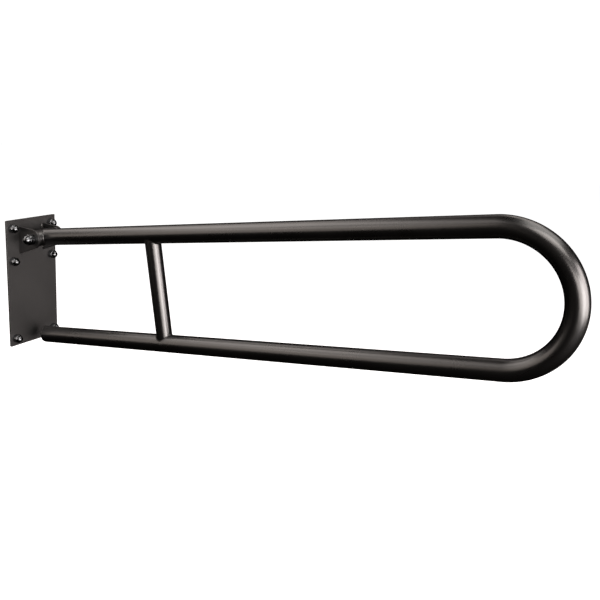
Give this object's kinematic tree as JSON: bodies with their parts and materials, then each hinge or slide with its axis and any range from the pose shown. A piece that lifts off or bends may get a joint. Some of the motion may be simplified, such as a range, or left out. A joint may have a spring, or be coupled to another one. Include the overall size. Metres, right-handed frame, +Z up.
{
  "type": "fold-up wall support rail",
  "caption": "U-shaped tube support rail hinged to a flat wall plate; it folds up, and a brace tube joins its legs.",
  "frame": {"origin": "centre of the wall plate's back face, the face that lies on the wall", "axes": "+X away from the wall along the rail, +Z up, Y across the plate; the rail is stored raised 10 degrees from level"},
  "size_m": [0.8028, 0.09, 0.3021],
  "materials": {
    "powder_coat": "satin",
    "fastener": "semi-gloss",
    "bare_steel": "turned",
    "bush_plastic": "matt",
    "bumper_rubber": "matt"
  },
  "bodies": {
    "wall_bracket": {"disc_spring_left": "bare_steel", "disc_spring_right": "bare_steel", "ear_weld_left": "powder_coat", "ear_weld_right": "powder_coat", "friction_washer_left": "bare_steel", "friction_washer_right": "bare_steel", "hinge_ear_left": "powder_coat", "hinge_ear_right": "powder_coat", "pivot_nut_left": "fastener", "pivot_nut_right": "fastener", "pivot_shaft": "bare_steel", "wall_nuts": "fastener", "wall_plate": "powder_coat"},
    "rail": {"rail_tube": "powder_coat", "brace_tube": "powder_coat", "brace_weld_upper": "powder_coat", "brace_weld_lower": "powder_coat", "knuckle_tube": "powder_coat", "knuckle_weld": "powder_coat", "hinge_bush_left": "bush_plastic", "hinge_bush_right": "bush_plastic", "end_bumper": "bumper_rubber"}
  },
  "joints": [
    {"name": "rail_hinge", "type": "hinge", "parent": "wall_bracket", "child": "rail", "pos_m": [0.032, 0, 0.0725], "axis": [0, -1, 0], "range_deg": [-10, 80]}
  ]
}
